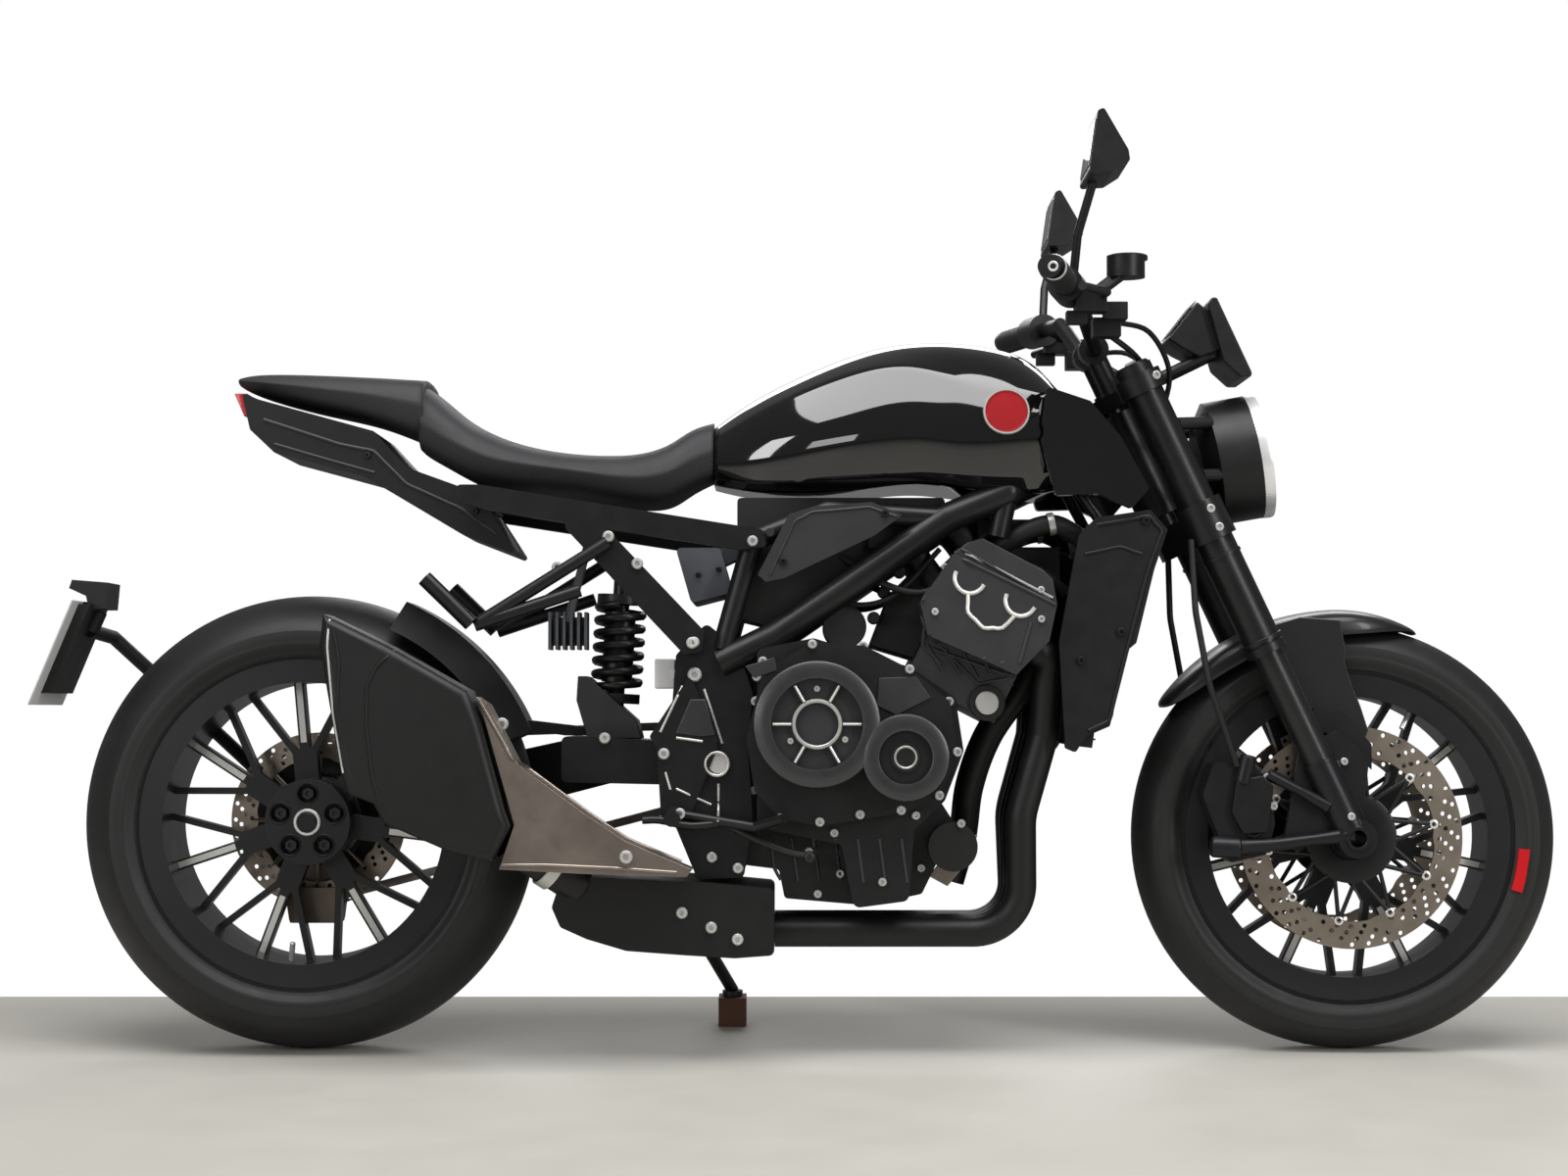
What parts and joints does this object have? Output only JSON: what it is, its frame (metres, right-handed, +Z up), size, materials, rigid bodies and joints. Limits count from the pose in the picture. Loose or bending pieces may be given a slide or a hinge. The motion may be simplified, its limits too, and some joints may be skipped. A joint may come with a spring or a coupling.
{
  "type": "standard motorcycle",
  "caption": "Naked roadster motorcycle with a round headlamp, spoked cast wheels, open inline engine and one-sided swingarm, leaning on its side stand over a wooden block.",
  "frame": {"origin": "middle of the bounding box's floor, where the tyres and the block stand", "axes": "+X forwards along the machine, +Y to its left, +Z up; the machine leans 3 degrees to its left"},
  "size_m": [2.1409, 0.8234, 1.282],
  "materials": {
    "frame_black": "satin",
    "engine_black": "satin",
    "engine_grey": "matte",
    "gloss_black": "gloss",
    "black_plastic": "matte",
    "grey_plastic": "matte",
    "grey_cover": "satin",
    "exhaust_black": "matte",
    "bare_metal": "brushed",
    "seat_vinyl": "grained",
    "red_lens": "gloss",
    "plate_white": "satin",
    "bright_steel": "satin",
    "chain_steel": "oiled",
    "caliper_grey": "matte",
    "block_wood": "worn",
    "slider_chrome": "polished",
    "grip_rubber": "matte",
    "lamp_glass": "clear",
    "fender_black": "satin",
    "hose_rubber": "satin",
    "rim_black": "satin",
    "tyre": "matte",
    "disc_steel": "ground"
  },
  "bodies": {
    "chassis": {"main_frame": "frame_black", "subframe": "frame_black", "crankcase": "engine_black", "cylinders": "engine_grey", "head_cover": "engine_black", "right_cover": "engine_black", "clutch_cover": "engine_grey", "left_cover": "engine_black", "airbox": "black_plastic", "starter_motor": "engine_grey", "oil_filter": "engine_black", "radiator": "frame_black", "radiator_shrouds": "black_plastic", "headers": "exhaust_black", "exhaust_chamber": "exhaust_black", "muffler": "exhaust_black", "link_pipe": "exhaust_black", "heat_shield": "bare_metal", "fuel_tank": "gloss_black", "tank_panels": "black_plastic", "side_covers": "grey_cover", "rider_seat": "seat_vinyl", "pillion_seat": "seat_vinyl", "tail_cowl": "black_plastic", "tail_light": "red_lens", "hugger": "black_plastic", "plate_bracket": "black_plastic", "number_plate": "plate_white", "swingarm": "frame_black", "pivot_bolt": "bright_steel", "shock": "bright_steel", "chain": "chain_steel", "rear_caliper": "caliper_grey", "rider_footrests": "frame_black", "passenger_footrests": "frame_black", "electrics": "grey_plastic", "stand_block": "block_wood"},
    "fork": {"fork_tubes": "frame_black", "fork_sliders": "slider_chrome", "fork_bottoms": "frame_black", "steering_yokes": "frame_black", "handlebar": "frame_black", "grips": "grip_rubber", "controls": "black_plastic", "mirrors": "black_plastic", "headlight": "gloss_black", "headlight_lens": "lamp_glass", "instrument": "black_plastic", "front_fender": "fender_black", "front_calipers": "frame_black", "brake_hoses": "hose_rubber"},
    "front_wheel": {"front_rim": "rim_black", "front_tyre": "tyre", "front_discs": "disc_steel"},
    "rear_wheel": {"rear_rim": "rim_black", "rear_tyre": "tyre", "rear_disc": "disc_steel", "rear_sprocket": "bright_steel"},
    "side_stand": {"side_stand": "frame_black"}
  },
  "joints": [
    {"name": "steering", "type": "hinge", "parent": "chassis", "child": "fork", "pos_m": [0.48657, -0.01177, 0.82386], "axis": [-0.4226, 0.0474, 0.9051], "range_deg": [-33, 33]},
    {"name": "front_wheel_spin", "type": "hinge", "parent": "fork", "child": "front_wheel", "pos_m": [0.7715, -0.03929, 0.29873], "axis": [0, 0.9986, -0.0523], "continuous": true},
    {"name": "rear_wheel_spin", "type": "hinge", "parent": "chassis", "child": "rear_wheel", "pos_m": [-0.6885, -0.03825, 0.31871], "axis": [0, 0.9986, -0.0523], "continuous": true},
    {"name": "side_stand_fold", "type": "hinge", "parent": "chassis", "child": "side_stand", "pos_m": [-0.1245, 0.072, 0.20578], "axis": [0.4443, 0.7413, 0.5032], "range_deg": [0, 100]}
  ]
}
